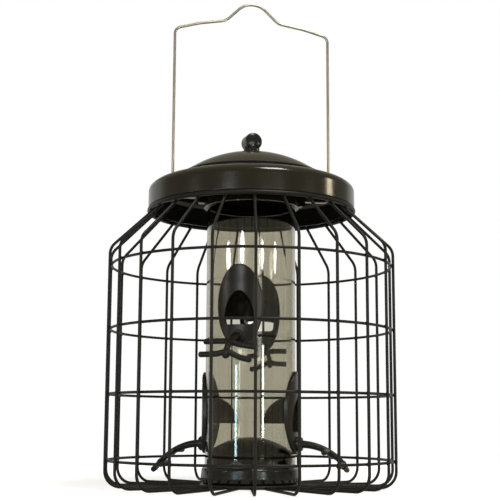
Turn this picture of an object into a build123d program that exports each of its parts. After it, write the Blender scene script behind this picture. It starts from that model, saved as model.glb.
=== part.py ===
from build123d import *
import os
from math import asin, atan2, cos, radians, sin, sqrt, tan

# A tube feeder for small birds inside a wire cage that keeps squirrels away from the seed.
# It stands on the floor of its cage, with the middle of that floor at the origin, +Z up.
# The hanging bail lies in the XZ plane. Lengths are in millimetres, angles in degrees.

# Cage: bent wires from the floor plate up to the top ring
wire_count = 23
wire_diameter = 2.4
cage_diameter = 240.0
first_wire_angle = -8.04
shoulder_corner_drop = 34.7
shoulder_bend_radius = 12.5
wire_end_past_ring = 2.5
foot_bend_radius = 13.0

# Hoops welded to the inner side of the wires
hoop_names = ("lower", "middle", "upper", "shoulder")
hoop_wire_diameter = 2.2
lowest_hoop_height = 21.8
highest_hoop_drop = 47.6

# Top ring, on which the lid sits
top_ring_wire_diameter = 3.5
top_ring_centre_diameter = 172.8
top_ring_height = 228.2

# Floor plate, a shallow pressed dish
floor_plate_overhang = 2.5
floor_plate_height = 3.4
floor_plate_sheet = 1.0
floor_plate_lift = 0.4
floor_plate_edge_radius = 1.6

# Base cup that plugs the lower end of the tube, with steps measured from the tube's skin
base_foot_overhang = 1.2
base_bulge_overhang = 3.2
base_bulge_height = 4.4
base_body_height = 13.1
base_shoulder_overhang = 2.4
base_shoulder_radius = 2.6
base_groove_inset = 0.8
base_groove_height = 2.1
base_plug_height = 6.2
base_wall = 2.5
base_boss_diameter = 12.0

# Domed deflector that leads the seed to the lower ports
deflector_skirt_height = 3.0
deflector_dome_rise = 12.7
deflector_sheet = 1.5

# Seed tube
tube_diameter = 74.6
tube_wall = 2.0
tube_rise_above_ring = 16.2
fit_clearance = 0.1
skin_clearance = 0.05

# Ports: oval face plates with an arched opening and a hood that reaches into the tube
port_foot_rise = 8.2
port_row_spacing = 85.3
port_upper_angle = -24.1
port_lower_angle = 65.9
port_width = 37.4
port_height = 67.2
port_plate_thickness = 2.75
port_edge_radius = 1.0
port_line_height = 23.5
port_line_width = 0.8
port_line_depth = 0.4
port_wall = 1.2
arch_top = 11.8
arch_bottom = 15.6
arch_half_width = 12.7
arch_corner_radius = 2.6
arch_peak_radius = 6.2
arch_side_radius = 20.0
arch_vertex_height_share = 1.2
arch_shoulder_width_share = 0.724
arch_shoulder_height_share = 0.45
arch_spring_height_share = 0.48
arch_foot_width_share = 0.91
sleeve_depth = 5.0
hood_reach = 23.0
hood_drop = 8.8

# Perches: moulded twigs, each with an arm and two cross bars
perch_drop_from_port = 25.3
perch_boss_diameter = 12.0
perch_boss_height = 2.2
perch_peg_diameter = 6.0
perch_peg_length = 9.0
perch_flange_diameter = 10.8
perch_flange_thickness = 1.5
perch_arm_root_diameter = 6.2
perch_arm_tip_diameter = 4.4
perch_arm_bend_radius = 47.6
perch_arm_sections = 5
perch_reach = 34.7
perch_knuckle_diameter = 6.2
perch_knuckle_drop = 1.8
perch_bar_diameter = 4.5
perch_bar_end_radius = 1.5
perch_bar_length = 40.0
perch_inner_bar_reach = 22.7
outer_bar_place_shares = (-0.54, -0.27, -0.1, 0.0, 0.13, 0.25, 0.38, 0.51)
outer_bar_rise_shares = (-0.037, -0.032, -0.012, 0.01, -0.03, -0.088, -0.127, -0.15)
inner_bar_place_shares = (-0.53, -0.33, -0.15, 0.0, 0.13, 0.25, 0.38, 0.53)
inner_bar_rise_shares = (-0.002, 0.003, 0.004, -0.012, -0.05, -0.076, -0.097, -0.113)

# Collar on the upper end of the tube, with two ears that hold the bail
collar_thickness = 2.9
collar_height = 12.4
ear_reach_share = 0.211
ear_width = 8.0
ear_height = 10.0

# Bail: one bent wire whose two feet hook into the ears
bail_wire_diameter = 2.4
bail_height = 174.2
bail_pivot_depth = 4.7
bail_foot_inset = 4.3
bail_foot_bend_radius = 5.0
bail_corner_drop = 25.6
bail_corner_radius = 6.5
bail_shoulder_place_share = 0.6815
bail_shoulder_drop = 19.7
bail_shoulder_radius = 60.0
hump_radius = 17.0
hump_slope = 44.5
hump_half_width = 23.0
hump_foot_radius = 12.0
pivot_play = 0.1

# Lid: a spun sheet cover with a hemmed edge, a rounded shoulder and a dome
lid_overhang = 0.8
lid_sheet = 0.8
lid_seat_clearance = 0.3
lid_side_height = 23.45
lid_shoulder_width = 16.8
lid_shoulder_height = 9.15
lid_land_width = 10.0
lid_step_height = 5.3
lid_step_radius = 1.4
lid_dome_rise = 20.65
lid_hem_thickness = 2.4
lid_hem_height = 2.2
lid_hem_radius = 0.8

# Grommets that ride on the bail in the two lid holes
grommet_bore_play = 0.1
grommet_neck_diameter = 4.4
grommet_flange_diameter = 9.8
grommet_flange_thickness = 1.6
grommet_groove = 1.8
lid_hole_diameter = 7.0
lid_hole_inset = 7.1

# Knob: a short lying drum with domed ends on a foot, screwed on through the lid
knob_diameter = 14.9
knob_length = 15.0
knob_end_radius = 18.0
knob_edge_radius = 1.0
knob_turn = 10.3
knob_height = 17.5
knob_foot_diameter = 16.4
knob_foot_height = 1.6
knob_neck_diameter = 13.6

# Screws and nut
screw_diameter = 4.0
screw_hole_play = 0.2
screw_head_diameter = 8.0
screw_head_height = 1.6
screw_head_edge_radius = 0.7
nut_across_flats = 7.0
nut_height = 3.2
screw_overrun = 1.6
knob_screw_depth = 8.0

# How far a cutting shape runs past what it cuts
overrun = 3.0

# Places in the cage and the base that follow from the sizes above
tube_radius = tube_diameter / 2
bore_radius = tube_radius - tube_wall
wire_centre_radius = (cage_diameter - wire_diameter) / 2
foot_height = wire_diameter / 2
top_ring_radius = top_ring_centre_diameter / 2
base_foot_radius = tube_radius + base_foot_overhang
floor_plate_radius = base_foot_radius + floor_plate_overhang
base_body_top = floor_plate_height + base_body_height
tube_bottom_height = base_body_top + base_groove_height
base_deck_height = tube_bottom_height + base_plug_height
plug_radius = bore_radius - fit_clearance
screw_hole_radius = screw_diameter / 2 + screw_hole_play

# Places along the tube
tube_top_height = top_ring_height + tube_rise_above_ring
plate_inner_radius = tube_radius + skin_clearance
plate_outer_radius = plate_inner_radius + port_plate_thickness
port_lower_height = tube_bottom_height + port_foot_rise + port_height / 2
port_upper_height = port_lower_height + port_row_spacing
collar_outer_radius = tube_radius + skin_clearance + collar_thickness

# Places on the lid and the bail
lid_radius = top_ring_radius + lid_overhang
lid_edge_height = top_ring_height + top_ring_wire_diameter / 2 + lid_seat_clearance
lid_land_height = lid_edge_height + lid_side_height
lid_dome_top_height = lid_land_height + lid_step_height + lid_dome_rise
lid_dome_foot = lid_radius - lid_shoulder_width - lid_land_width
lid_dome_radius = (lid_dome_foot**2 + lid_dome_rise**2) / (2 * lid_dome_rise)
lid_dome_centre_height = lid_dome_top_height - lid_dome_radius
bail_half_width = lid_dome_foot + lid_hole_inset
bail_pivot_height = tube_top_height - bail_pivot_depth
bail_peak_height = bail_pivot_height + bail_height
ear_reach = collar_outer_radius + (bail_half_width - collar_outer_radius) * ear_reach_share

# Stands a shape's base on its own origin
standing = (Align.CENTER, Align.CENTER, Align.MIN)


def turned(points, radii):
    """Turn a closed outline of (radius, height) corners, each with its own rounding, about Z."""
    corners = [(radius, 0, height) for radius, height in points]
    outline = FilletPolyline(*corners, radius=radii, close=True)
    return revolve(make_face(outline), Axis.Z)


def post(radius, bottom, top):
    """Return an upright round post on the Z axis between two heights."""
    return Pos(0, 0, bottom) * Cylinder(radius, top - bottom, align=standing)


def bar(radius, start, end):
    """Return a straight round bar from one point to another."""
    direction = Vector(*end) - Vector(*start)
    plane = Plane(origin=start, z_dir=direction)
    return plane * Cylinder(radius, direction.length, align=standing)


def swept_wire(points, bend_radii, diameter):
    """Return a round wire along straight runs joined by tangent bends."""
    path = FilletPolyline(*points, radius=bend_radii)
    section = Plane(origin=path @ 0, z_dir=path % 0) * Circle(diameter / 2)
    return sweep(section, path)


def hoop(centre_radius, height, diameter):
    """Return a closed ring of round wire, lying level."""
    return Pos(0, 0, height) * Torus(centre_radius, diameter / 2)


def make_cage_wires():
    """Bend one wire from the floor plate to the underside of the top ring and repeat it round the cage."""
    run = wire_centre_radius - top_ring_radius
    to_ring = sqrt(shoulder_corner_drop**2 + run**2)
    ring_gap = (top_ring_wire_diameter + wire_diameter) / 2
    slope = atan2(shoulder_corner_drop, run) - asin(ring_gap / to_ring)
    length = sqrt(to_ring**2 - ring_gap**2) + wire_end_past_ring
    corner_height = top_ring_height - shoulder_corner_drop
    points = [
        (floor_plate_radius, 0, foot_height),
        (wire_centre_radius, 0, foot_height),
        (wire_centre_radius, 0, corner_height),
        (wire_centre_radius - length * cos(slope), 0, corner_height + length * sin(slope)),
    ]
    wire = swept_wire(points, [foot_bend_radius, shoulder_bend_radius], wire_diameter)
    pitch = 360 / wire_count
    turns = [first_wire_angle - 90 + index * pitch for index in range(wire_count)]
    return Compound(children=[Rot(0, 0, turn) * wire for turn in turns])


def make_hoops():
    """Return the hoops by name, evenly spaced from the lowest to the highest."""
    radius = wire_centre_radius - (wire_diameter + hoop_wire_diameter) / 2
    spacing = (top_ring_height - highest_hoop_drop - lowest_hoop_height) / (len(hoop_names) - 1)
    hoops = {}
    for index, name in enumerate(hoop_names):
        height = lowest_hoop_height + index * spacing
        hoops[f"cage_hoop_{name}"] = hoop(radius, height, hoop_wire_diameter)
    return hoops


def make_top_ring():
    """Return the thicker ring at the cage's mouth."""
    return hoop(top_ring_radius, top_ring_height, top_ring_wire_diameter)


def make_floor_plate():
    """Press a shallow dish, open below, with a hole for the base screw."""
    outer = floor_plate_radius
    inner = outer - floor_plate_sheet
    underside = floor_plate_height - floor_plate_sheet
    inner_edge_radius = floor_plate_edge_radius - floor_plate_sheet
    points = [
        (screw_hole_radius, floor_plate_height),
        (outer, floor_plate_height),
        (outer, floor_plate_lift),
        (inner, floor_plate_lift),
        (inner, underside),
        (screw_hole_radius, underside),
    ]
    return turned(points, [0, floor_plate_edge_radius, 0, 0, inner_edge_radius, 0])


def make_base_cup():
    """Mould the base: a bulged cup, a groove under the tube and a plug inside it."""
    foot = base_foot_radius
    bulge = tube_radius + base_bulge_overhang
    shoulder = tube_radius + base_shoulder_overhang
    groove = tube_radius - base_groove_inset
    points = [
        (screw_hole_radius, floor_plate_height),
        (foot, floor_plate_height),
        (bulge, floor_plate_height + base_bulge_height),
        (shoulder, base_body_top),
        (groove, base_body_top),
        (groove, tube_bottom_height),
        (plug_radius, tube_bottom_height),
        (plug_radius, base_deck_height),
        (screw_hole_radius, base_deck_height),
    ]
    body = turned(points, [0, base_wall, base_wall, base_shoulder_radius, 0, 0, 0, 0, 0])
    hollow_points = [
        (base_boss_diameter / 2, floor_plate_height),
        (foot - base_wall, floor_plate_height),
        (foot - base_wall, base_body_top - base_wall),
        (plug_radius - base_wall, tube_bottom_height),
        (plug_radius - base_wall, base_deck_height - base_wall),
        (base_boss_diameter / 2, base_deck_height - base_wall),
    ]
    hollow = turned(hollow_points, [0, 0, base_wall, base_wall, base_wall / 2, base_wall / 2])
    return body - hollow


def make_seed_deflector():
    """Mould a thin dome with a short skirt that stands on the base inside the tube."""
    dome_radius = (plug_radius**2 + deflector_dome_rise**2) / (2 * deflector_dome_rise)
    top = base_deck_height + deflector_skirt_height + deflector_dome_rise
    outer_ball = Pos(0, 0, top - dome_radius) * Sphere(dome_radius)
    inner_ball = Pos(0, 0, top - dome_radius) * Sphere(dome_radius - deflector_sheet)
    shell = post(plug_radius, base_deck_height, top) & outer_ball
    room = post(plug_radius - deflector_sheet, base_deck_height, top) & inner_ball
    return shell - room


def make_base_screw():
    """Return the screw that ties the floor plate, base and nut together."""
    head_top = floor_plate_height - floor_plate_sheet
    head = post(screw_head_diameter / 2, head_top - screw_head_height, head_top)
    head = fillet(head.edges().sort_by(Axis.Z)[0], screw_head_edge_radius)
    return head + post(screw_diameter / 2, head_top, base_deck_height + nut_height + screw_overrun)


def make_base_nut():
    """Return the hexagon nut on the base's deck, under the deflector."""
    hexagon = RegularPolygon(nut_across_flats / 2, 6, major_radius=False)
    nut = Pos(0, 0, base_deck_height) * extrude(hexagon, nut_height)
    return nut - post(screw_diameter / 2, base_deck_height, base_deck_height + nut_height)


def arch_face(margin):
    """Draw the port's arched opening in the XZ plane, grown by a margin, about the port's centre."""
    shoulder = arch_half_width * arch_shoulder_width_share
    shoulder_height = arch_top * arch_shoulder_height_share
    spring_height = -arch_bottom * arch_spring_height_share
    foot_width = arch_half_width * arch_foot_width_share
    side = [
        (shoulder, shoulder_height),
        (arch_half_width, spring_height),
        (foot_width, -arch_bottom),
    ]
    mirrored = [(-across, up) for across, up in reversed(side)]
    side_radii = [arch_side_radius, arch_side_radius, arch_corner_radius]
    radii = [arch_peak_radius] + side_radii + side_radii[::-1]
    corners = [(0, arch_top * arch_vertex_height_share)] + side + mirrored
    face = make_face(FilletPolyline(*corners, radius=radii, close=True))
    if margin > 0:
        face = offset(face, margin)
    return Plane.XZ * face


def arch_prism(margin, near, far):
    """Carry the arched outline inward through the tube wall, between two distances from the axis."""
    return Pos(0, -far, 0) * extrude(arch_face(margin), near - far)


def make_port():
    """Mould one port about its own centre, facing -Y, with the tube's axis on Z."""
    half_height = port_height / 2
    outline = Plane.XZ * Ellipse(port_width / 2, half_height)
    oval = extrude(outline, plate_outer_radius + overrun)
    tall = half_height + overrun
    ring = post(plate_outer_radius, -tall, tall) - post(plate_inner_radius, -tall, tall)
    plate = ring & oval
    outer_face = plate.faces().sort_by(Axis.Y)[0]
    plate = fillet(outer_face.edges(), port_edge_radius)
    line_top = port_line_height + port_line_width
    plate -= (post(plate_outer_radius + overrun, port_line_height, line_top)
              - post(plate_outer_radius - port_line_depth, port_line_height, line_top))
    boss_end = plate_outer_radius + perch_boss_height
    boss = bar(perch_boss_diameter / 2, (0, -plate_inner_radius, -perch_drop_from_port),
               (0, -boss_end, -perch_drop_from_port))
    boss -= post(plate_inner_radius, -tall, tall)
    sleeve_end = plate_inner_radius - sleeve_depth
    sleeve = arch_prism(port_wall, plate_outer_radius, sleeve_end)
    sleeve &= post(plate_inner_radius + skin_clearance, -tall, tall)
    hood = hood_shape(port_wall) - hood_shape(0)
    port = plate + boss + sleeve
    port -= arch_prism(0, plate_outer_radius + overrun, sleeve_end - overrun)
    port += hood
    peg_hole = perch_peg_diameter / 2 + fit_clearance
    port -= bar(peg_hole, (0, -bore_radius, -perch_drop_from_port),
                (0, -boss_end - overrun, -perch_drop_from_port))
    return port


def hood_shape(margin):
    """Return the rounded hood that reaches in from the upper arch, grown by a wall."""
    reach = hood_reach + margin
    half_width = arch_half_width + margin
    height = arch_top + hood_drop + margin
    centre = plate_inner_radius - sleeve_depth / 2
    ball = Pos(0, -centre, -hood_drop) * scale(Sphere(1), by=(half_width, reach, height))
    above = Pos(0, 0, -hood_drop) * Box(tube_diameter, 2 * tube_diameter, port_height, align=standing)
    return arch_prism(margin, centre, 0) & ball & above


def twig(places, rises, distance):
    """Return a slightly crooked cross bar at a distance from the tube's axis."""
    middle_points = [(place * perch_bar_length, -distance, rise * perch_bar_length)
                     for place, rise in zip(places, rises)]
    path = Spline(*middle_points)
    crooked = sweep(Plane(origin=path @ 0, z_dir=path % 0) * Circle(perch_bar_diameter / 2), path)
    faces = crooked.faces().sort_by(Axis.X)
    return fillet(faces[0].edges() + faces[-1].edges(), perch_bar_end_radius)


def arm_point(start, turn):
    """Return the point on the perch arm's round droop after a turn in radians."""
    return Vector(0, -start - perch_arm_bend_radius * sin(turn), -perch_arm_bend_radius * (1 - cos(turn)))


def make_perch():
    """Mould one perch about its root height, facing -Y, with the tube's axis on Z."""
    flange_start = plate_outer_radius + perch_boss_height
    flange_end = flange_start + perch_flange_thickness
    peg = bar(perch_peg_diameter / 2, (0, -flange_end, 0), (0, -flange_start + perch_peg_length, 0))
    flange = bar(perch_flange_diameter / 2, (0, -flange_start, 0), (0, -flange_end, 0))
    flange = fillet(flange.edges().sort_by(Axis.Y)[0], perch_flange_thickness / 2)
    full_turn = asin(perch_reach / perch_arm_bend_radius)
    sections = []
    for step in range(perch_arm_sections):
        share = step / (perch_arm_sections - 1)
        turn = full_turn * share
        centre = arm_point(flange_start, turn)
        direction = (0, -cos(turn), -sin(turn))
        diameter = perch_arm_root_diameter + (perch_arm_tip_diameter - perch_arm_root_diameter) * share
        sections.append(Plane(origin=centre, z_dir=direction) * Circle(diameter / 2))
    arm = loft(sections)
    tip = arm_point(flange_start, full_turn)
    inner_turn = asin(perch_inner_bar_reach / perch_arm_bend_radius)
    inner = arm_point(flange_start, inner_turn)
    knuckle = Pos(tip.X, tip.Y, tip.Z - perch_knuckle_drop) * Sphere(perch_knuckle_diameter / 2)
    outer_bar = twig(outer_bar_place_shares, outer_bar_rise_shares, -tip.Y)
    inner_bar = twig(inner_bar_place_shares, inner_bar_rise_shares, -inner.Y)
    perch = peg + flange + arm + knuckle
    perch += Pos(0, 0, tip.Z) * outer_bar
    perch += Pos(0, 0, inner.Z) * inner_bar
    return perch


def port_places():
    """Return the name, angle and centre height of each port."""
    return (
        ("upper_front", port_upper_angle, port_upper_height),
        ("upper_back", port_upper_angle + 180, port_upper_height),
        ("lower_right", port_lower_angle, port_lower_height),
        ("lower_left", port_lower_angle + 180, port_lower_height),
    )


def make_feeder_tube():
    """Cut the clear tube for its ports, its perch pegs and the feet of the bail."""
    tube = post(tube_radius, tube_bottom_height, tube_top_height)
    tube -= post(bore_radius, tube_bottom_height, tube_top_height)
    peg_hole = perch_peg_diameter / 2 + port_wall
    for name, angle, height in port_places():
        window = arch_prism(port_wall + fit_clearance, tube_radius + overrun, bore_radius / 2)
        drilling = bar(peg_hole, (0, -bore_radius / 2, -perch_drop_from_port),
                       (0, -tube_radius - overrun, -perch_drop_from_port))
        tube -= Pos(0, 0, height) * Rot(0, 0, angle) * window
        tube -= Pos(0, 0, height) * Rot(0, 0, angle) * drilling
    return tube - bail_drilling(tube_radius + overrun)


def bail_drilling(reach):
    """Return the cross drilling, on the bail's axis, that its feet turn in."""
    radius = bail_wire_diameter / 2 + pivot_play
    return bar(radius, (-reach, 0, bail_pivot_height), (reach, 0, bail_pivot_height))


def make_tube_collar():
    """Mould the collar round the tube's mouth, with an ear on either side."""
    bottom = tube_top_height - collar_height
    ears = Pos(0, 0, bail_pivot_height) * Box(2 * ear_reach, ear_width, ear_height)
    ears = fillet(ears.edges().filter_by(Axis.Y), ear_height / 4)
    collar = post(collar_outer_radius, bottom, tube_top_height) + ears
    collar -= post(tube_radius + skin_clearance, bottom - overrun, tube_top_height + overrun)
    return collar - bail_drilling(ear_reach + overrun)


def make_bail():
    """Bend the hanging wire: feet, legs, shoulders and the hump for a hook."""
    hump_vertex = bail_peak_height + hump_radius * (1 / cos(radians(hump_slope)) - 1)
    hump_foot_height = hump_vertex - hump_half_width * tan(radians(hump_slope))
    shoulder_place = bail_half_width * bail_shoulder_place_share
    side = [
        (tube_radius - bail_foot_inset, bail_pivot_height, 0),
        (bail_half_width, bail_pivot_height, bail_foot_bend_radius),
        (bail_half_width, bail_peak_height - bail_corner_drop, bail_corner_radius),
        (shoulder_place, bail_peak_height - bail_shoulder_drop, bail_shoulder_radius),
        (hump_half_width, hump_foot_height, hump_foot_radius),
    ]
    left = [(-across, 0, height) for across, height, radius in side]
    right = [(across, 0, height) for across, height, radius in reversed(side)]
    points = left + [(0, 0, hump_vertex)] + right
    bends = [radius for across, height, radius in side[1:]]
    return swept_wire(points, bends + [hump_radius] + bends[::-1], bail_wire_diameter)


def lid_form(inset):
    """Return the lid's filled form, with every surface set in by an inset."""
    wall = lid_radius - inset
    land = lid_land_height - inset
    dome_radius = lid_dome_radius - inset
    step = lid_dome_foot - inset
    shoulder_start = lid_land_height - lid_shoulder_height
    shoulder_end = lid_radius - lid_shoulder_width
    shoulder = Plane.XZ * EllipticalCenterArc(
        (shoulder_end, shoulder_start), lid_shoulder_width - inset, lid_shoulder_height - inset,
        start_angle=0, arc_size=90)
    half_turn = asin(step / dome_radius) / 2
    dome_foot = (step, 0, lid_dome_centre_height + dome_radius * cos(2 * half_turn))
    dome_middle = (dome_radius * sin(half_turn), 0, lid_dome_centre_height + dome_radius * cos(half_turn))
    dome_top = (0, 0, lid_dome_centre_height + dome_radius)
    outline = [
        Line((0, 0, lid_edge_height), (wall, 0, lid_edge_height)),
        Line((wall, 0, lid_edge_height), (wall, 0, shoulder_start)),
        shoulder,
        Line((shoulder_end, 0, land), (step, 0, land)),
        Line((step, 0, land), dome_foot),
        ThreePointArc(dome_foot, dome_middle, dome_top),
        Line(dome_top, (0, 0, lid_edge_height)),
    ]
    form = revolve(make_face(outline), Axis.Z)
    step_rings = form.edges().filter_by(GeomType.CIRCLE).sort_by(SortBy.RADIUS)[:2].sort_by(Axis.Z)
    form = fillet(step_rings[-1], lid_step_radius - inset)
    step_rings = form.edges().filter_by(GeomType.CIRCLE).filter_by_position(Axis.Z, land, land)
    return fillet(step_rings.sort_by(SortBy.RADIUS)[0], lid_step_radius + inset)


def make_lid_cover():
    """Spin the lid from sheet, hem its edge and cut the holes for the bail and the knob screw."""
    hem_top = lid_edge_height + lid_hem_height
    mouth = lid_radius - lid_hem_thickness
    above_hem = post(2 * lid_radius, hem_top, lid_dome_top_height + overrun)
    room = lid_form(lid_sheet) & above_hem
    cover = lid_form(0) - room - post(mouth, lid_edge_height - overrun, hem_top)
    rim = cover.edges().group_by(Axis.Z)[0]
    cover = fillet(rim, lid_hem_radius)
    for side in (-1, 1):
        hole = post(lid_hole_diameter / 2, lid_edge_height, lid_dome_top_height)
        cover -= Pos(side * bail_half_width, 0, 0) * hole
    return cover - post(screw_hole_radius, lid_edge_height, lid_dome_top_height + overrun)


def make_lid_grommets():
    """Turn one grommet with a groove for the lid's sheet and set one in each lid hole."""
    bore = bail_wire_diameter / 2 + grommet_bore_play
    neck = grommet_neck_diameter / 2
    flange = grommet_flange_diameter / 2
    groove_bottom = lid_land_height - lid_sheet / 2 - grommet_groove / 2
    groove_top = groove_bottom + grommet_groove
    rounding = grommet_flange_thickness / 3
    points = [
        (bore, groove_bottom - grommet_flange_thickness),
        (flange, groove_bottom - grommet_flange_thickness),
        (flange, groove_bottom),
        (neck, groove_bottom),
        (neck, groove_top),
        (flange, groove_top),
        (flange, groove_top + grommet_flange_thickness),
        (bore, groove_top + grommet_flange_thickness),
    ]
    grommet = turned(points, [0, rounding, 0, 0, 0, 0, rounding, 0])
    return Compound(children=[Pos(side * bail_half_width, 0, 0) * grommet for side in (-1, 1)])


def make_lid_knob():
    """Mould the knob: a lying, domed drum on a neck and a foot, with a blind hole for its screw."""
    axis_height = lid_dome_top_height + knob_height - knob_diameter / 2
    half_length = knob_length / 2
    drum = bar(knob_diameter / 2, (0, -half_length, axis_height), (0, half_length, axis_height))
    for side in (-1, 1):
        drum &= Pos(0, side * (half_length - knob_end_radius), axis_height) * Sphere(knob_end_radius)
    drum = fillet(drum.edges().filter_by(GeomType.CIRCLE), knob_edge_radius)
    foot_top = lid_dome_top_height + knob_foot_height
    foot = post(knob_foot_diameter / 2, lid_land_height, foot_top)
    neck = post(knob_neck_diameter / 2, lid_land_height, axis_height)
    dome = Pos(0, 0, lid_dome_centre_height) * Sphere(lid_dome_radius)
    knob = drum + neck + foot - dome
    knob -= post(screw_diameter / 2, lid_land_height, lid_dome_top_height + knob_screw_depth)
    return Rot(0, 0, knob_turn) * knob


def make_knob_screw():
    """Return the screw that holds the knob from inside the lid."""
    seat = lid_dome_top_height - lid_sheet
    dome = Pos(0, 0, lid_dome_centre_height) * Sphere(lid_dome_radius - lid_sheet)
    head = post(screw_head_diameter / 2, seat - screw_head_height, lid_dome_top_height) & dome
    head = fillet(head.edges().sort_by(Axis.Z)[0], screw_head_edge_radius)
    shank_end = lid_dome_top_height + knob_screw_depth
    return head + post(screw_diameter / 2, seat - screw_head_height / 2, shank_end)


def make_parts():
    """Return every piece by its node's name."""
    parts = {
        "cage_wires": make_cage_wires(),
        "cage_top_ring": make_top_ring(),
        "cage_floor_plate": make_floor_plate(),
        "base_cup": make_base_cup(),
        "seed_deflector": make_seed_deflector(),
        "base_screw": make_base_screw(),
        "base_nut": make_base_nut(),
        "feeder_tube": make_feeder_tube(),
        "tube_collar": make_tube_collar(),
        "bail_handle": make_bail(),
        "lid_cover": make_lid_cover(),
        "lid_grommets": make_lid_grommets(),
        "lid_knob": make_lid_knob(),
        "knob_screw": make_knob_screw(),
    }
    parts.update(make_hoops())
    port = make_port()
    perch = make_perch()
    for name, angle, height in port_places():
        parts[f"port_{name}"] = Pos(0, 0, height) * Rot(0, 0, angle) * port
        parts[f"perch_{name}"] = Pos(0, 0, height - perch_drop_from_port) * Rot(0, 0, angle) * perch
    return parts


os.makedirs("parts", exist_ok=True)
for node, shape in make_parts().items():
    export_step(shape, f"parts/{node}.step")
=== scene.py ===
import bpy
import math
from mathutils import Matrix, Vector


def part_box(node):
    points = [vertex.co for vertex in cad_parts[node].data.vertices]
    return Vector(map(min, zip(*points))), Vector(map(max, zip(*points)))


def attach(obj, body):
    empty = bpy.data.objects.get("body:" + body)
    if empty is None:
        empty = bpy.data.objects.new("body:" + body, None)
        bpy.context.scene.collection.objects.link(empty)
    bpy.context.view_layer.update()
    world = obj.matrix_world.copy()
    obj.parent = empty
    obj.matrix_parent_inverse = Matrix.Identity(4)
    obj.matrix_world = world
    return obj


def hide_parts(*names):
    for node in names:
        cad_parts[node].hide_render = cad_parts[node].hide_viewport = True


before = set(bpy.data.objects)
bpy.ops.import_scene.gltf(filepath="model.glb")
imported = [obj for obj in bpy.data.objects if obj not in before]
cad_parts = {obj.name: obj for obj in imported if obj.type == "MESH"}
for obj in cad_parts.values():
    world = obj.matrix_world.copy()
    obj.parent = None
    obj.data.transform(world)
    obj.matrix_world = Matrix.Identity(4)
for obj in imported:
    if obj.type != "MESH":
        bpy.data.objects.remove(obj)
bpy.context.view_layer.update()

# The camera stands level with the lower ports, a little left of the feeder's front, and looks
# up at it through a long lens. Its place was found from the crossings of the cage's wires.
MM = 0.001
camera_distance = 895.9 * MM
camera_side = -0.96 * MM
camera_height = 54.0 * MM
camera_turn = math.radians(-9.7)
camera_tilt = math.radians(9.028)
camera_roll = math.radians(0.28)
camera_data = bpy.data.cameras.new("camera")
camera_data.lens = 77.23
camera_data.sensor_width = 36.0
camera = bpy.data.objects.new("camera", camera_data)
bpy.context.scene.collection.objects.link(camera)
turn = Matrix.Rotation(camera_turn, 3, "Z")
level_right = turn @ Vector((1, 0, 0))
forward = turn @ Vector((0, math.cos(camera_tilt), math.sin(camera_tilt)))
level_up = level_right.cross(forward)
right = math.cos(camera_roll) * level_right + math.sin(camera_roll) * level_up
up = math.cos(camera_roll) * level_up - math.sin(camera_roll) * level_right
place = turn @ Vector((camera_side, -camera_distance, camera_height))
facing = Matrix((right, up, -forward)).transposed().to_4x4()
camera.matrix_world = Matrix.Translation(place) @ facing
bpy.context.scene.camera = camera
bpy.context.scene.view_settings.view_transform = "Standard"


# A plain white table, with a white wall behind the feeder: both show as plain white, and the
# table keeps the feeder's soft shadow. The room round them is dim and warm.
def linear(hex_colour):
    """Turn an sRGB hex colour into the linear numbers that Blender's sockets take."""
    parts = [int(hex_colour[start:start + 2], 16) / 255 for start in (1, 3, 5)]
    light = [part / 12.92 if part <= 0.04045 else ((part + 0.055) / 1.055) ** 2.4 for part in parts]
    return light + [1]


def add_node(tree, kind, inputs=None, **settings):
    """Add a node with its settings; an input is a value, or a node or socket to link from."""
    node = tree.nodes.new(kind)
    for name, value in settings.items():
        setattr(node, name, value)
    for name, value in (inputs or {}).items():
        source = value.outputs[0] if isinstance(value, bpy.types.Node) else value
        if isinstance(source, bpy.types.NodeSocket):
            tree.links.new(source, node.inputs[name])
        else:
            node.inputs[name].default_value = source
    return node


def seen_directly(tree):
    """Return 1 for a ray that comes from the camera straight, or only through clear plastic."""
    path = add_node(tree, "ShaderNodeLightPath").outputs
    turns = add_node(tree, "ShaderNodeMath", {
        0: path["Glossy Depth"], 1: path["Diffuse Depth"]}, operation="ADD")
    unturned = add_node(tree, "ShaderNodeMath", {0: turns, 1: 0.5}, operation="LESS_THAN")
    through = add_node(tree, "ShaderNodeMath", {
        0: path["Is Transmission Ray"], 1: unturned}, operation="MULTIPLY")
    return add_node(tree, "ShaderNodeMath", {
        0: path["Is Camera Ray"], 1: through}, operation="MAXIMUM")


mirrored_wall_share = 0.6
wall_edge_start, wall_edge_end = 0.45, 0.65
wall_top_start, wall_top_end = 0.38, 0.46
room_strength = 0.46
room_floor_share = 0.3
room_floor_direction, room_wall_direction = -0.25, 0.05
world = bpy.data.worlds.new("white_studio")
bpy.context.scene.world = world
world.use_nodes = True
sky = world.node_tree
sky.nodes.clear()
light_path = add_node(sky, "ShaderNodeLightPath").outputs
direction = add_node(sky, "ShaderNodeSeparateXYZ", {
    0: add_node(sky, "ShaderNodeTexCoord").outputs["Generated"]}).outputs
behind = add_node(sky, "ShaderNodeMapRange", {
    "Value": direction["Y"], "From Min": wall_edge_start, "From Max": wall_edge_end})
low = add_node(sky, "ShaderNodeMapRange", {
    "Value": direction["Z"], "From Min": wall_top_start, "From Max": wall_top_end,
    "To Min": 1.0, "To Max": 0.0})
wall_area = add_node(sky, "ShaderNodeMath", {0: behind, 1: low}, operation="MULTIPLY")
mirrored_wall = add_node(sky, "ShaderNodeMath", {
    0: wall_area, 1: mirrored_wall_share}, operation="MULTIPLY")
mirrored = add_node(sky, "ShaderNodeMath", {
    0: light_path["Is Glossy Ray"], 1: mirrored_wall}, operation="MULTIPLY")
shown = add_node(sky, "ShaderNodeMath", {
    0: seen_directly(sky), 1: mirrored}, operation="MAXIMUM")
wall = add_node(sky, "ShaderNodeBackground", {"Color": linear("#FFFFFF"), "Strength": 1.0})
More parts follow.
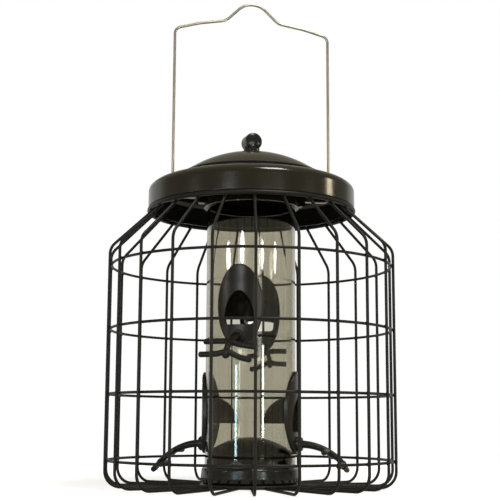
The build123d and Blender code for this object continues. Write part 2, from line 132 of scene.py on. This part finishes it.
fading_down = add_node(sky, "ShaderNodeMapRange", {
    "Value": direction["Z"], "From Min": room_floor_direction, "From Max": room_wall_direction,
    "To Min": room_floor_share * room_strength, "To Max": room_strength})
room = add_node(sky, "ShaderNodeBackground", {
    "Color": linear("#D6D0BA"), "Strength": fading_down})
surround = add_node(sky, "ShaderNodeMixShader", {"Fac": shown, 1: room, 2: wall})
add_node(sky, "ShaderNodeOutputWorld", {"Surface": surround})

table_size = 0.95
mirrored_table_share = 0.2
shadow_reach, white_reach = 0.15, 0.45
glow_under_feeder = 0.72
half_table = table_size / 2
table_mesh = bpy.data.meshes.new("table")
table_mesh.from_pydata(
    [(-half_table, -half_table, 0), (half_table, -half_table, 0), (half_table, half_table, 0),
     (-half_table, half_table, 0)], [], [(0, 1, 2, 3)])
table = bpy.data.objects.new("table", table_mesh)
bpy.context.scene.collection.objects.link(table)
laminate = bpy.data.materials.new("white_table_laminate")
laminate.use_nodes = True
board = laminate.node_tree
matt_white = board.nodes["Principled BSDF"]
matt_white.inputs["Base Color"].default_value = linear("#BFBFBD")
matt_white.inputs["Roughness"].default_value = 0.9
matt_white.inputs["Emission Color"].default_value = linear("#FFFFFF")
table_path = add_node(board, "ShaderNodeLightPath").outputs
from_middle = add_node(board, "ShaderNodeVectorMath", {
    0: add_node(board, "ShaderNodeTexCoord").outputs["Object"]}, operation="LENGTH")
whiter_outward = add_node(board, "ShaderNodeMapRange", {
    "Value": from_middle.outputs["Value"], "From Min": shadow_reach, "From Max": white_reach,
    "To Min": glow_under_feeder, "To Max": 1.0})
table_shown = add_node(board, "ShaderNodeMath", {
    0: table_path["Is Glossy Ray"], 1: mirrored_table_share, 2: seen_directly(board)},
    operation="MULTIPLY_ADD")
table_glow = add_node(board, "ShaderNodeMath", {
    0: table_shown, 1: whiter_outward}, operation="MULTIPLY")
board.links.new(table_glow.outputs[0], matt_white.inputs["Emission Strength"])
table_mesh.materials.append(laminate)


# Soft lamps stand round the feeder like the windows of a room. Two dim ones face it from the
# camera's sides, bright panes draw the streaks on the tube, the side window draws the glint at
# the right of the lid's wall, and one lamp is overhead.
def soft_lamp(name, shape, bearing, distance, height, size, watts, colour):
    """Stand a lamp at a bearing from the camera's side, level with the feeder and facing it."""
    lamp_data = bpy.data.lights.new(name, "AREA")
    lamp_data.shape = shape
    lamp_data.size, lamp_data.size_y = size
    lamp_data.energy = watts
    lamp_data.color = linear(colour)[:3]
    lamp = bpy.data.objects.new(name, lamp_data)
    angle = math.radians(bearing)
    across, away = distance * math.sin(angle), distance * math.cos(angle)
    lamp.location = turn @ Vector((across, -away, height))
    aim = Vector((0, 0, min(height, highest_aim))) - lamp.location
    lamp.rotation_euler = aim.to_track_quat("-Z", "Y").to_euler()
    bpy.context.scene.collection.objects.link(lamp)


highest_aim = 0.25
lamps = (
    # name, shape, bearing in degrees, distance, height and size in metres, watts, colour
    ("overhead_lamp", "RECTANGLE", 38, 0.75, 1.7, (0.5, 0.5), 14, "#FFFFFF"),
    ("left_window", "RECTANGLE", -24, 1.3, 0.295, (0.42, 0.25), 1.0, "#EEF4F6"),
    ("right_window", "RECTANGLE", 18, 1.3, 0.295, (0.42, 0.25), 1.0, "#FFFBF2"),
    ("left_window_pane", "RECTANGLE", -36, 1.25, 0.067, (0.13, 0.184), 1.1, "#C4F0FF"),
    ("right_window_pane", "RECTANGLE", 31, 1.25, 0.11, (0.11, 0.177), 0.95, "#E8FAFC"),
    ("side_window", "RECTANGLE", 92, 1.3, 0.54, (0.17, 0.16), 1.2, "#FFEFCC"),
    ("far_left_pane", "ELLIPSE", -61, 1.25, 0.372, (0.25, 0.06), 0.55, "#FFFFFF"),
    ("left_upper_pane", "ELLIPSE", -22, 1.25, 0.39, (0.27, 0.065), 0.6, "#FFFFFF"),
    ("right_upper_pane", "ELLIPSE", 29, 1.25, 0.375, (0.15, 0.06), 0.35, "#FFFFFF"),
    ("far_right_pane", "ELLIPSE", 64, 1.25, 0.37, (0.17, 0.065), 0.4, "#FFFFFF"),
)
for lamp_values in lamps:
    soft_lamp(*lamp_values)


# The cage is 23 steel wires, each bent at its foot and its shoulder, and powder coated with
# everything welded to it. The coat is satin, with a fine orange peel and a few paler grains.
def new_material(name):
    """Start a material; return it with its tree, its shader and its Object coordinates."""
    material = bpy.data.materials.new(name)
    material.use_nodes = True
    tree = material.node_tree
    spot = add_node(tree, "ShaderNodeTexCoord").outputs["Object"]
    return material, tree, tree.nodes["Principled BSDF"], spot


def powder_coat():
    """Brown-black polyester powder: an even satin, slightly mottled and grainy close by."""
    peel_size, cloud_size, grain_size = 0.9 * MM, 14 * MM, 0.25 * MM
    peel_depth, grain_depth = 0.05 * MM, 0.012 * MM
    material, tree, shader, spot = new_material("powder_coat_brown_black_on_steel")
    peel = add_node(tree, "ShaderNodeTexNoise", {
        "Vector": spot, "Scale": 1 / peel_size, "Detail": 2.0})
    cloud = add_node(tree, "ShaderNodeTexNoise", {
        "Vector": spot, "Scale": 1 / cloud_size, "Detail": 3.0})
    grain = add_node(tree, "ShaderNodeTexNoise", {
        "Vector": spot, "Scale": 1 / grain_size, "Detail": 4.0})
    grain_spots = add_node(tree, "ShaderNodeMapRange", {
        "Value": grain, "From Min": 0.6, "From Max": 0.75})
    ground = add_node(tree, "ShaderNodeMix", {
        0: cloud, 6: linear("#15130E"), 7: linear("#1F1C15")}, data_type="RGBA")
    tone = add_node(tree, "ShaderNodeMix", {
        0: grain_spots, 6: ground.outputs[2], 7: linear("#332F25")}, data_type="RGBA")
    roughness = add_node(tree, "ShaderNodeMapRange", {
        "Value": peel, "To Min": 0.3, "To Max": 0.5})
    grain_bump = add_node(tree, "ShaderNodeBump", {"Height": grain, "Distance": grain_depth})
    peel_bump = add_node(tree, "ShaderNodeBump", {
        "Height": peel, "Distance": peel_depth, "Normal": grain_bump})
    shader.inputs["Specular IOR Level"].default_value = 0.3
    tree.links.new(tone.outputs[2], shader.inputs["Base Color"])
    tree.links.new(roughness.outputs[0], shader.inputs["Roughness"])
    tree.links.new(peel_bump.outputs[0], shader.inputs["Normal"])
    return material


def new_tree(name, sizes):
    """Start a geometry tree with these named inputs and return it with their sockets."""
    tree = bpy.data.node_groups.new(name, "GeometryNodeTree")
    tree.is_modifier = True
    for size, kind in sizes.items():
        tree.interface.new_socket(size, in_out="INPUT", socket_type="NodeSocket" + kind)
    tree.interface.new_socket("Geometry", in_out="OUTPUT", socket_type="NodeSocketGeometry")
    return tree, add_node(tree, "NodeGroupInput").outputs


def pick_by_point(tree, data_type, choices):
    """Give each point of a path its own value, by the point's number."""
    switch = add_node(tree, "GeometryNodeIndexSwitch", data_type=data_type)
    while len(switch.index_switch_items) < len(choices):
        switch.index_switch_items.new()
    tree.links.new(add_node(tree, "GeometryNodeInputIndex").outputs[0], switch.inputs[0])
    for number, choice in enumerate(choices):
        if isinstance(choice, bpy.types.NodeSocket):
            tree.links.new(choice, switch.inputs[number + 1])
        else:
            switch.inputs[number + 1].default_value = choice
    return switch


def bent_wire_tree():
    """Bend one wire through four corners and set copies of it evenly round the cage."""
    tree, given = new_tree("bent_cage_wires", {
        "Wires": "Int", "First Angle": "Float", "Wire Radius": "Float", "Foot Bend": "Float",
        "Shoulder Bend": "Float", "Start": "Vector", "Foot Corner": "Vector",
        "Shoulder Corner": "Vector", "End": "Vector", "Material": "Material"})
    straight = add_node(tree, "GeometryNodeCurvePrimitiveLine")
    four_points = add_node(tree, "GeometryNodeResampleCurve", {"Curve": straight, "Count": 4})
    corner = pick_by_point(tree, "VECTOR", [
        given["Start"], given["Foot Corner"], given["Shoulder Corner"], given["End"]])
    path = add_node(tree, "GeometryNodeSetPosition", {"Geometry": four_points, "Position": corner})
    bend = pick_by_point(tree, "FLOAT", [0.0, given["Foot Bend"], given["Shoulder Bend"], 0.0])
    bent = add_node(tree, "GeometryNodeFilletCurve", {
        "Curve": path, "Count": bend_steps, "Radius": bend}, mode="POLY")
    section = add_node(tree, "GeometryNodeCurvePrimitiveCircle", {
        "Resolution": wire_sides, "Radius": given["Wire Radius"]})
    wire = add_node(tree, "GeometryNodeCurveToMesh", {
        "Curve": bent, "Profile Curve": section, "Fill Caps": True})
    index = add_node(tree, "GeometryNodeInputIndex")
    share = add_node(tree, "ShaderNodeMath", {0: index, 1: given["Wires"]}, operation="DIVIDE")
    angle = add_node(tree, "ShaderNodeMath", {
        0: share, 1: 2 * math.pi, 2: given["First Angle"]}, operation="MULTIPLY_ADD")
    places = add_node(tree, "GeometryNodePoints", {"Count": given["Wires"]})
    turned = add_node(tree, "ShaderNodeCombineXYZ", {2: angle})
    copies = add_node(tree, "GeometryNodeInstanceOnPoints", {
        "Points": places, "Instance": wire, "Rotation": turned})
    real = add_node(tree, "GeometryNodeRealizeInstances", {0: copies})
    smooth = add_node(tree, "GeometryNodeSetShadeSmooth", {0: real})
    coated = add_node(tree, "GeometryNodeSetMaterial", {0: smooth, "Material": given["Material"]})
    add_node(tree, "NodeGroupOutput", {0: coated})
    return tree


def grow(name, tree, values):
    """Run a geometry tree with these inputs and keep its result as a plain mesh object."""
    piece = bpy.data.objects.new(name, bpy.data.meshes.new(name))
    bpy.context.scene.collection.objects.link(piece)
    modifier = piece.modifiers.new("tree", "NODES")
    modifier.node_group = tree
    for socket in tree.interface.items_tree:
        if socket.in_out == "INPUT":
            modifier[socket.identifier] = values[socket.name]
    evaluated = piece.evaluated_get(bpy.context.evaluated_depsgraph_get())
    mesh = bpy.data.meshes.new_from_object(evaluated)
    piece.modifiers.remove(modifier)
    piece.data = mesh
    return piece


wire_count = 23
wire_radius = 1.2 * MM
wire_sides = 18
bend_steps = 14
wire_circle_radius = 118.8 * MM
first_wire_angle = math.radians(-8.04) - math.pi / 2
foot_bend = 13.0 * MM
shoulder_bend = 12.5 * MM
shoulder_corner_height = 193.5 * MM
wire_foot_height = wire_radius
wire_end_past_ring = 2.5 * MM
ring_wire_radius = 1.75 * MM
ring_radius = 86.4 * MM
ring_height = 228.2 * MM
floor_plate_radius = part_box("cage_floor_plate")[1].x
run = wire_circle_radius - ring_radius
rise = ring_height - shoulder_corner_height
to_ring = math.hypot(run, rise)
ring_gap = ring_wire_radius + wire_radius
slope = math.atan2(rise, run) - math.asin(ring_gap / to_ring)
slope_length = math.sqrt(to_ring**2 - ring_gap**2) + wire_end_past_ring
end_radius = wire_circle_radius - slope_length * math.cos(slope)
end_height = shoulder_corner_height + slope_length * math.sin(slope)
coat = powder_coat()
cage_wires = grow("bent_cage_wires", bent_wire_tree(), {
    "Wires": wire_count, "First Angle": first_wire_angle, "Wire Radius": wire_radius,
    "Foot Bend": foot_bend, "Shoulder Bend": shoulder_bend,
    "Start": (floor_plate_radius, 0, wire_foot_height),
    "Foot Corner": (wire_circle_radius, 0, wire_foot_height),
    "Shoulder Corner": (wire_circle_radius, 0, shoulder_corner_height),
    "End": (end_radius, 0, end_height), "Material": coat})
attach(cage_wires, "feeder")
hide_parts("cage_wires")


# Four hoops of thinner wire, the thicker top ring and the pressed floor plate hold the wires,
# and carry the same coat.
def paint(material, *names):
    """Give CAD nodes a material through their objects' slots."""
    for name in names:
        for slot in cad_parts[name].material_slots:
            slot.material = material


hoops = ("cage_hoop_lower", "cage_hoop_middle", "cage_hoop_upper", "cage_hoop_shoulder")
paint(coat, "cage_top_ring", "cage_floor_plate", *hoops)


# Spot welds join the wires to the hoops and the top ring. Each squeezes out a small bead, which
# the powder coat rounds off, and no two are quite alike.
def weld_tree():
    """Set beads of slightly different sizes on rows of points round the cage."""
    tree, given = new_tree("weld_beads", {
        "Wires": "Int", "Rows": "Int", "First Angle": "Float", "Radius": "Float",
        "Lowest": "Float", "Spacing": "Float", "Bead": "Vector", "Seed": "Int",
        "Material": "Material"})
    index = add_node(tree, "GeometryNodeInputIndex")
    count = add_node(tree, "ShaderNodeMath", {
        0: given["Wires"], 1: given["Rows"]}, operation="MULTIPLY")
    rounds = add_node(tree, "ShaderNodeMath", {0: index, 1: given["Wires"]}, operation="DIVIDE")
    row = add_node(tree, "ShaderNodeMath", {0: rounds}, operation="FLOOR")
    height = add_node(tree, "ShaderNodeMath", {
        0: row, 1: given["Spacing"], 2: given["Lowest"]}, operation="MULTIPLY_ADD")
    angle = add_node(tree, "ShaderNodeMath", {
        0: rounds, 1: 2 * math.pi, 2: given["First Angle"]}, operation="MULTIPLY_ADD")
    across = add_node(tree, "ShaderNodeMath", {0: angle}, operation="COSINE")
    along = add_node(tree, "ShaderNodeMath", {0: angle}, operation="SINE")
    bearing = add_node(tree, "ShaderNodeCombineXYZ", {0: across, 1: along})
    outward = add_node(tree, "ShaderNodeVectorMath", {
        0: bearing, "Scale": given["Radius"]}, operation="SCALE")
    lifted = add_node(tree, "ShaderNodeCombineXYZ", {2: height})
    spot = add_node(tree, "ShaderNodeVectorMath", {0: outward, 1: lifted}, operation="ADD")
    points = add_node(tree, "GeometryNodePoints", {"Count": count, "Position": spot})
    turned = add_node(tree, "ShaderNodeCombineXYZ", {2: angle})
    sizes = add_node(tree, "FunctionNodeRandomValue", {
        "Min": smallest_bead, "Max": largest_bead, "Seed": given["Seed"]},
        data_type="FLOAT_VECTOR")
    bead = add_node(tree, "GeometryNodeMeshIcoSphere", {"Radius": 1.0, "Subdivisions": 3})
    scale = add_node(tree, "ShaderNodeVectorMath", {
        0: sizes, 1: given["Bead"]}, operation="MULTIPLY")
    placed = add_node(tree, "GeometryNodeInstanceOnPoints", {
        "Points": points, "Instance": bead, "Rotation": turned, "Scale": scale})
    real = add_node(tree, "GeometryNodeRealizeInstances", {0: placed})
    smooth = add_node(tree, "GeometryNodeSetShadeSmooth", {0: real})
    coated = add_node(tree, "GeometryNodeSetMaterial", {0: smooth, "Material": given["Material"]})
    add_node(tree, "NodeGroupOutput", {0: coated})
    return tree


smallest_bead, largest_bead = (0.8, 0.85, 0.85), (1.25, 1.15, 1.15)
lowest_hoop = 21.8 * MM
highest_hoop = 180.6 * MM
hoop_spacing = (highest_hoop - lowest_hoop) / (len(hoops) - 1)
hoop_weld_radius = wire_circle_radius - wire_radius
hoop_weld_size = (0.8 * MM, 1.6 * MM, 1.5 * MM)
ring_weld_radius = ring_radius - ring_wire_radius * math.sin(slope)
ring_weld_height = ring_height - ring_wire_radius * math.cos(slope)
ring_weld_size = (1.3 * MM, 1.6 * MM, 1.3 * MM)
weld_rows = {
    "hoop_welds": {
        "Rows": len(hoops), "Radius": hoop_weld_radius, "Lowest": lowest_hoop,
        "Spacing": hoop_spacing, "Bead": hoop_weld_size, "Seed": 3},
    "top_ring_welds": {
        "Rows": 1, "Radius": ring_weld_radius, "Lowest": ring_weld_height,
        "Spacing": 0.0, "Bead": ring_weld_size, "Seed": 5},
}
bead_tree = weld_tree()
for name, values in weld_rows.items():
    values.update({"Wires": wire_count, "First Angle": first_wire_angle, "Material": coat})
    beads = grow(name, bead_tree, values)
    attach(beads, "feeder")


# The base cup is ABS moulded in a polished tool, so it shows soft lights like a window's. Fine
# wiping swirls dull it a little. The knob on the lid comes from the same plastic.
def gloss_abs():
    """Black ABS: nearly a mirror, with swirls drawn coarser than real ones, so that they show."""
    swirl_size, haze_size = 1.6 * MM, 9 * MM
    swirl_depth, haze_depth = 0.004 * MM, 0.06 * MM
    swirl_stretch = (1, 1, 0.3)
    material, tree, shader, spot = new_material("abs_black_polished_moulding")
    drawn = add_node(tree, "ShaderNodeMapping", {"Vector": spot, "Scale": swirl_stretch})
    swirl = add_node(tree, "ShaderNodeTexNoise", {
        "Vector": drawn, "Scale": 1 / swirl_size, "Detail": 5.0})
    haze = add_node(tree, "ShaderNodeTexNoise", {
        "Vector": spot, "Scale": 1 / haze_size, "Detail": 3.0})
    tone = add_node(tree, "ShaderNodeMix", {
        0: haze, 6: linear("#13110D"), 7: linear("#1C1913")}, data_type="RGBA")
    roughness = add_node(tree, "ShaderNodeMapRange", {
        "Value": swirl, "To Min": 0.12, "To Max": 0.3})
    swirl_bump = add_node(tree, "ShaderNodeBump", {"Height": swirl, "Distance": swirl_depth})
    haze_bump = add_node(tree, "ShaderNodeBump", {
        "Height": haze, "Distance": haze_depth, "Normal": swirl_bump})
    tree.links.new(tone.outputs[2], shader.inputs["Base Color"])
    tree.links.new(roughness.outputs[0], shader.inputs["Roughness"])
    tree.links.new(haze_bump.outputs[0], shader.inputs["Normal"])
    return material


paint(gloss_abs(), "base_cup", "lid_knob")


# The ports, the seed deflector and the collar on the tube's mouth are ABS from a spark-textured
# tool: brown-black and satin, with a fine sparkle.
def satin_abs():
    """Charcoal ABS: a satin grain, drawn coarser than spark texture, over faint flow marks."""
    spark_size, flow_size = 0.4 * MM, 18 * MM
    spark_depth = 0.015 * MM
    flow_stretch = (1, 1, 0.4)
    material, tree, shader, spot = new_material("abs_charcoal_spark_textured")
    drawn = add_node(tree, "ShaderNodeMapping", {"Vector": spot, "Scale": flow_stretch})
    spark = add_node(tree, "ShaderNodeTexNoise", {
        "Vector": spot, "Scale": 1 / spark_size, "Detail": 3.0})
    flow = add_node(tree, "ShaderNodeTexNoise", {
        "Vector": drawn, "Scale": 1 / flow_size, "Detail": 3.0})
    tone = add_node(tree, "ShaderNodeMix", {
        0: flow, 6: linear("#211D16"), 7: linear("#2E2920")}, data_type="RGBA")
    roughness = add_node(tree, "ShaderNodeMapRange", {
        "Value": spark, "To Min": 0.16, "To Max": 0.32})
    spark_bump = add_node(tree, "ShaderNodeBump", {"Height": spark, "Distance": spark_depth})
    shader.inputs["Specular IOR Level"].default_value = 0.36
    tree.links.new(tone.outputs[2], shader.inputs["Base Color"])
    tree.links.new(roughness.outputs[0], shader.inputs["Roughness"])
    tree.links.new(spark_bump.outputs[0], shader.inputs["Normal"])
    return material


port_names = ("upper_front", "upper_back", "lower_right", "lower_left")
paint(satin_abs(), "seed_deflector", "tube_collar", *["port_" + name for name in port_names])


# The perches are moulded as twigs: bark ridges cover the arm and the bars, and the colour
# is lighter on the bark's high spots and darker in its furrows.
def bark_plastic():
    """Dark polypropylene with moulded bark: furrows of about 1 mm on slower swells."""
    furrow_size, swell_size = 1.3 * MM, 4 * MM
    furrow_depth, swell_depth = 0.14 * MM, 0.3 * MM
    material, tree, shader, spot = new_material("polypropylene_bark_textured")
    furrow = add_node(tree, "ShaderNodeTexNoise", {
        "Vector": spot, "Scale": 1 / furrow_size, "Detail": 4.0})
    swell = add_node(tree, "ShaderNodeTexNoise", {
        "Vector": spot, "Scale": 1 / swell_size, "Detail": 2.0})
    # The colour follows the bark's relief: lighter on its high spots, darker in its furrows.
    lighter_on_ridges = add_node(tree, "ShaderNodeMapRange", {
        "Value": furrow, "From Min": 0.35, "From Max": 0.7})
    tone = add_node(tree, "ShaderNodeMix", {
        0: lighter_on_ridges, 6: linear("#14110D"), 7: linear("#2B261D")}, data_type="RGBA")
    roughness = add_node(tree, "ShaderNodeMapRange", {
        "Value": swell, "To Min": 0.28, "To Max": 0.5})
    shader.inputs["Specular IOR Level"].default_value = 0.3
    furrow_bump = add_node(tree, "ShaderNodeBump", {"Height": furrow, "Distance": furrow_depth})
    swell_bump = add_node(tree, "ShaderNodeBump", {
        "Height": swell, "Distance": swell_depth, "Normal": furrow_bump})
    tree.links.new(tone.outputs[2], shader.inputs["Base Color"])
    tree.links.new(roughness.outputs[0], shader.inputs["Roughness"])
    tree.links.new(swell_bump.outputs[0], shader.inputs["Normal"])
    return material


paint(bark_plastic(), *["perch_" + name for name in port_names])


# The tube is extruded clear polycarbonate, 2 mm thick, with a faint warm smoke tint. Extrusion
# leaves long, barely visible lines, and the seed deflector shows through it.
def clear_polycarbonate():
    """Clear plastic of IOR 1.58, whose long lines tint and bend light very slightly."""
    line_size = 3 * MM
    line_depth = 0.004 * MM
    line_stretch = (1, 1, 0.01)
    material, tree, shader, spot = new_material("polycarbonate_clear_extruded")
    drawn = add_node(tree, "ShaderNodeMapping", {"Vector": spot, "Scale": line_stretch})
    line = add_node(tree, "ShaderNodeTexNoise", {
        "Vector": drawn, "Scale": 1 / line_size, "Detail": 3.0})
    tint = add_node(tree, "ShaderNodeMix", {
        0: line, 6: linear("#BBB8A9"), 7: linear("#DAD7CB")}, data_type="RGBA")
    line_bump = add_node(tree, "ShaderNodeBump", {"Height": line, "Distance": line_depth})
    shader.inputs["Roughness"].default_value = 0.02
    shader.inputs["IOR"].default_value = 1.58
    shader.inputs["Transmission Weight"].default_value = 1.0
    tree.links.new(tint.outputs[2], shader.inputs["Base Color"])
    tree.links.new(line_bump.outputs[0], shader.inputs["Normal"])
    return material


paint(clear_polycarbonate(), "feeder_tube")


# The bail is drawn steel wire with a bright zinc coat that has dulled to a warm grey, and die
# lines run along it. The screws and the nut have the same coat.
def zinc_plate():
    """Zinc plate: a milky grey metal, with die lines drawn coarser than real ones to show."""
    patch_size, line_size = 5 * MM, 0.5 * MM
    line_depth = 0.01 * MM
    line_stretch = (1, 1, 0.05)
    material, tree, shader, spot = new_material("zinc_plated_drawn_steel")
    drawn = add_node(tree, "ShaderNodeMapping", {"Vector": spot, "Scale": line_stretch})
    patch = add_node(tree, "ShaderNodeTexNoise", {
        "Vector": spot, "Scale": 1 / patch_size, "Detail": 4.0})
    line = add_node(tree, "ShaderNodeTexNoise", {
        "Vector": drawn, "Scale": 1 / line_size, "Detail": 2.0})
    tone = add_node(tree, "ShaderNodeMix", {
        0: patch, 6: linear("#BDB8A6"), 7: linear("#D3CEBD")}, data_type="RGBA")
    roughness = add_node(tree, "ShaderNodeMapRange", {
        "Value": patch, "To Min": 0.22, "To Max": 0.45})
    line_bump = add_node(tree, "ShaderNodeBump", {"Height": line, "Distance": line_depth})
    shader.inputs["Metallic"].default_value = 1.0
    tree.links.new(tone.outputs[2], shader.inputs["Base Color"])
    tree.links.new(roughness.outputs[0], shader.inputs["Roughness"])
    tree.links.new(line_bump.outputs[0], shader.inputs["Normal"])
    return material


paint(zinc_plate(), "bail_handle", "base_screw", "base_nut", "knob_screw")


# Two rubber grommets line the lid's holes, so that the bail doesn't scratch the enamel. Each is
# pressed into its hole and held there by the groove round it.
def grommet_rubber():
    """Black nitrile rubber: matt, with a bloom of dust in spots of about 1 mm."""
    dust_size = 1.2 * MM
    dust_depth = 0.03 * MM
    material, tree, shader, spot = new_material("nitrile_rubber_black")
    dust = add_node(tree, "ShaderNodeTexNoise", {
        "Vector": spot, "Scale": 1 / dust_size, "Detail": 4.0})
    tone = add_node(tree, "ShaderNodeMix", {
        0: dust, 6: linear("#141414"), 7: linear("#26251F")}, data_type="RGBA")
    dust_bump = add_node(tree, "ShaderNodeBump", {"Height": dust, "Distance": dust_depth})
    shader.inputs["Roughness"].default_value = 0.6
    tree.links.new(tone.outputs[2], shader.inputs["Base Color"])
    tree.links.new(dust_bump.outputs[0], shader.inputs["Normal"])
    return material


rubber = grommet_rubber()
paint(rubber, "lid_grommets")


# The lid is spun from steel sheet and its edge is rolled inward. It is stove enamelled, a
# deep brown-black gloss with a long orange peel; inside its wall it is painted near black and matt,
# as painted shade.
def stove_enamel():
    """Gloss enamel with a long peel, and painted shade, near black and matt, inside the lid's wall.
    """
    wave_size, cast_size = 3 * MM, 40 * MM
    wave_depth = 0.02 * MM
    shade_radius, shade_height = 86.6 * MM, 244.0 * MM
    inside_roughness = 0.75
    material, tree, shader, spot = new_material("stove_enamel_brown_black")
    wave = add_node(tree, "ShaderNodeTexNoise", {
        "Vector": spot, "Scale": 1 / wave_size, "Detail": 2.0})
    cast = add_node(tree, "ShaderNodeTexNoise", {
        "Vector": spot, "Scale": 1 / cast_size, "Detail": 3.0})
    enamel = add_node(tree, "ShaderNodeMix", {
        0: cast, 6: linear("#1C190F"), 7: linear("#252014")}, data_type="RGBA")
    gloss = add_node(tree, "ShaderNodeMapRange", {"Value": wave, "To Min": 0.11, "To Max": 0.2})
    across = add_node(tree, "ShaderNodeVectorMath", {0: spot, 1: (1, 1, 0)}, operation="MULTIPLY")
    from_axis = add_node(tree, "ShaderNodeVectorMath", {0: across}, operation="LENGTH")
    height = add_node(tree, "ShaderNodeSeparateXYZ", {0: spot}).outputs["Z"]
    # Inside the lid's wall the enamel's colour gives way to painted shade, near black and matt.
    inward = add_node(tree, "ShaderNodeMath", {
        0: from_axis.outputs["Value"], 1: shade_radius}, operation="LESS_THAN")
    below = add_node(tree, "ShaderNodeMath", {0: height, 1: shade_height}, operation="LESS_THAN")
    painted_shade_inside = add_node(tree, "ShaderNodeMath", {0: inward, 1: below}, operation="MULTIPLY")
    tone = add_node(tree, "ShaderNodeMix", {
        0: painted_shade_inside, 6: enamel.outputs[2], 7: linear("#0E0D0B")}, data_type="RGBA")
    roughness = add_node(tree, "ShaderNodeMix", {0: painted_shade_inside, 2: gloss, 3: inside_roughness})
    wave_bump = add_node(tree, "ShaderNodeBump", {"Height": wave, "Distance": wave_depth})
    tree.links.new(tone.outputs[2], shader.inputs["Base Color"])
    tree.links.new(roughness.outputs[0], shader.inputs["Roughness"])
    tree.links.new(wave_bump.outputs[0], shader.inputs["Normal"])
    return material


paint(stove_enamel(), "lid_cover")


# Two thin black rings are painted shade: one in the corner at the foot of the lid's dome, and a
# finer one under its hem, where the lid meets the top ring. Their thickness wanders a little.
def shade_ring_tree():
    """Sweep a round section whose radius wanders round a circle."""
    tree, given = new_tree("painted_shade_ring", {
        "Ring Radius": "Float", "Height": "Float", "Bead Radius": "Float", "Seed": "Int",
        "Material": "Material"})
    circle = add_node(tree, "GeometryNodeCurvePrimitiveCircle", {
        "Resolution": ring_steps, "Radius": given["Ring Radius"]})
    lift = add_node(tree, "ShaderNodeCombineXYZ", {2: given["Height"]})
    lifted = add_node(tree, "GeometryNodeSetPosition", {"Geometry": circle, "Offset": lift})
    wander = add_node(tree, "FunctionNodeRandomValue", {
        2: thinnest_share, 3: thickest_share, "Seed": given["Seed"]}, data_type="FLOAT")
    even = add_node(tree, "GeometryNodeBlurAttribute", {
        "Value": wander.outputs[1], "Iterations": 4})
    uneven = add_node(tree, "GeometryNodeSetCurveRadius", {"Curve": lifted, "Radius": even})
    section = add_node(tree, "GeometryNodeCurvePrimitiveCircle", {
        "Resolution": bead_sides, "Radius": given["Bead Radius"]})
    bead = add_node(tree, "GeometryNodeCurveToMesh", {"Curve": uneven, "Profile Curve": section})
    real = add_node(tree, "GeometryNodeRealizeInstances", {0: bead})
    smooth = add_node(tree, "GeometryNodeSetShadeSmooth", {0: real})
    black = add_node(tree, "GeometryNodeSetMaterial", {0: smooth, "Material": given["Material"]})
    add_node(tree, "NodeGroupOutput", {0: black})
    return tree


ring_steps = 180
bead_sides = 12
thinnest_share, thickest_share = 0.88, 1.12
# Each ring is a dark bead put where there is only shade, at the dome's foot and under the hem.
shade_ring_places = {
    "dome_foot_shade_ring": {
        "Ring Radius": 60.6 * MM, "Height": 259.1 * MM, "Bead Radius": 0.6 * MM, "Seed": 4},
    "hem_shade_ring": {
        "Ring Radius": 86.2 * MM, "Height": 230.25 * MM, "Bead Radius": 0.26 * MM, "Seed": 6},
}
shade_ring_nodes = shade_ring_tree()
for name, values in shade_ring_places.items():
    dark_ring = grow(name, shade_ring_nodes, {**values, "Material": rubber})
    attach(dark_ring, "lid")
